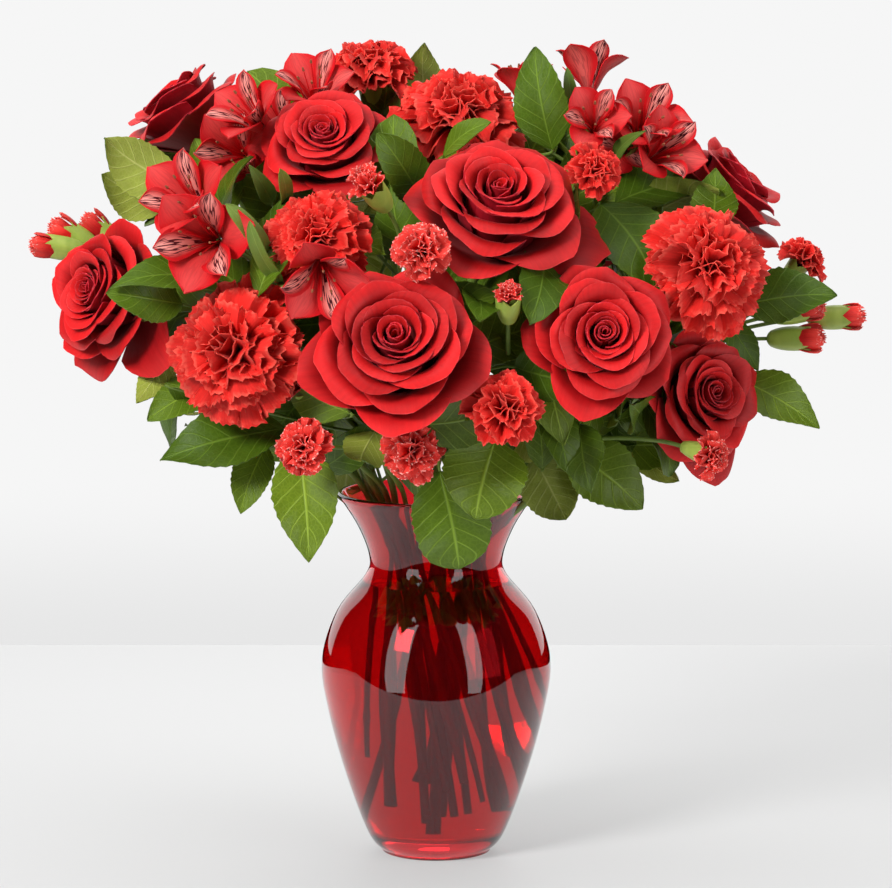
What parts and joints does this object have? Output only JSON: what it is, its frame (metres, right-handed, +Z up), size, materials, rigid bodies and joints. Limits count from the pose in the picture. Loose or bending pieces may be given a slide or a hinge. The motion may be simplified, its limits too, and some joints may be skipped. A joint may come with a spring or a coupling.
{
  "type": "mixed bouquet of roses and carnations in a glass vase",
  "caption": "Round bouquet of red roses, carnations, spray carnations and Peruvian lilies with salal leaves, standing in water in a flared red glass vase.",
  "frame": {"origin": "middle of the vase's flat foot, on the surface that it stands on", "axes": "+Z up along the vase's axis, -Y towards the front of the bouquet, +X to the right seen from the front"},
  "size_m": [0.4461, 0.313, 0.458],
  "materials": {
    "red_glass": "clear polished",
    "water": "clear",
    "rose_petal": "velvety",
    "carnation_petal": "matt",
    "spray_carnation_petal": "matt, pale edges",
    "lily_petal": "satin, striped",
    "green_stem": "satin",
    "green_leaf": "satin"
  },
  "bodies": {
    "root": {"vase": "red_glass", "water": "water", "rose_front": "rose_petal", "rose_center": "rose_petal", "rose_right": "rose_petal", "rose_upper_left": "rose_petal", "rose_left": "rose_petal", "rose_back_left": "rose_petal", "rose_back_right": "rose_petal", "rose_lower_right": "rose_petal", "rose_behind_left": "rose_petal", "rose_behind_right": "rose_petal", "carnation_front_left": "carnation_petal", "carnation_top": "carnation_petal", "carnation_right": "carnation_petal", "carnation_left": "carnation_petal", "carnation_top_left": "carnation_petal", "carnation_behind": "carnation_petal", "mini_upper_right": "spray_carnation_petal", "mini_front_right": "spray_carnation_petal", "mini_center": "spray_carnation_petal", "mini_bud_center": "spray_carnation_petal", "mini_bud_front": "spray_carnation_petal", "mini_low_left": "spray_carnation_petal", "mini_low_center": "spray_carnation_petal", "mini_low_right": "spray_carnation_petal", "mini_far_right": "spray_carnation_petal", "mini_behind_left": "spray_carnation_petal", "lily_upper_left": "lily_petal", "lilies_left": "lily_petal", "lily_center_left": "lily_petal", "lily_top_left": "lily_petal", "lily_top_bell": "lily_petal", "lily_top_inner": "lily_petal", "lily_top_right": "lily_petal", "lilies_right": "lily_petal", "rose_stems_left": "green_stem", "rose_stems_front": "green_stem", "rose_stems_right": "green_stem", "rose_stems_behind": "green_stem", "carnation_stems_left": "green_stem", "carnation_stems_right": "green_stem", "spray_left": "green_stem", "spray_center": "green_stem", "spray_low": "green_stem", "spray_mid": "green_stem", "spray_low_right": "green_stem", "spray_far_right": "green_stem", "lily_stem_left": "green_stem", "lily_stem_top_left": "green_stem", "lily_stem_right": "green_stem", "foliage_far_left": "green_leaf", "foliage_left": "green_leaf", "foliage_low_left": "green_leaf", "foliage_front": "green_leaf", "foliage_low_right": "green_leaf", "foliage_right": "green_leaf", "foliage_top": "green_leaf", "foliage_mid_right": "green_leaf", "foliage_behind": "green_leaf"}
  },
  "joints": []
}
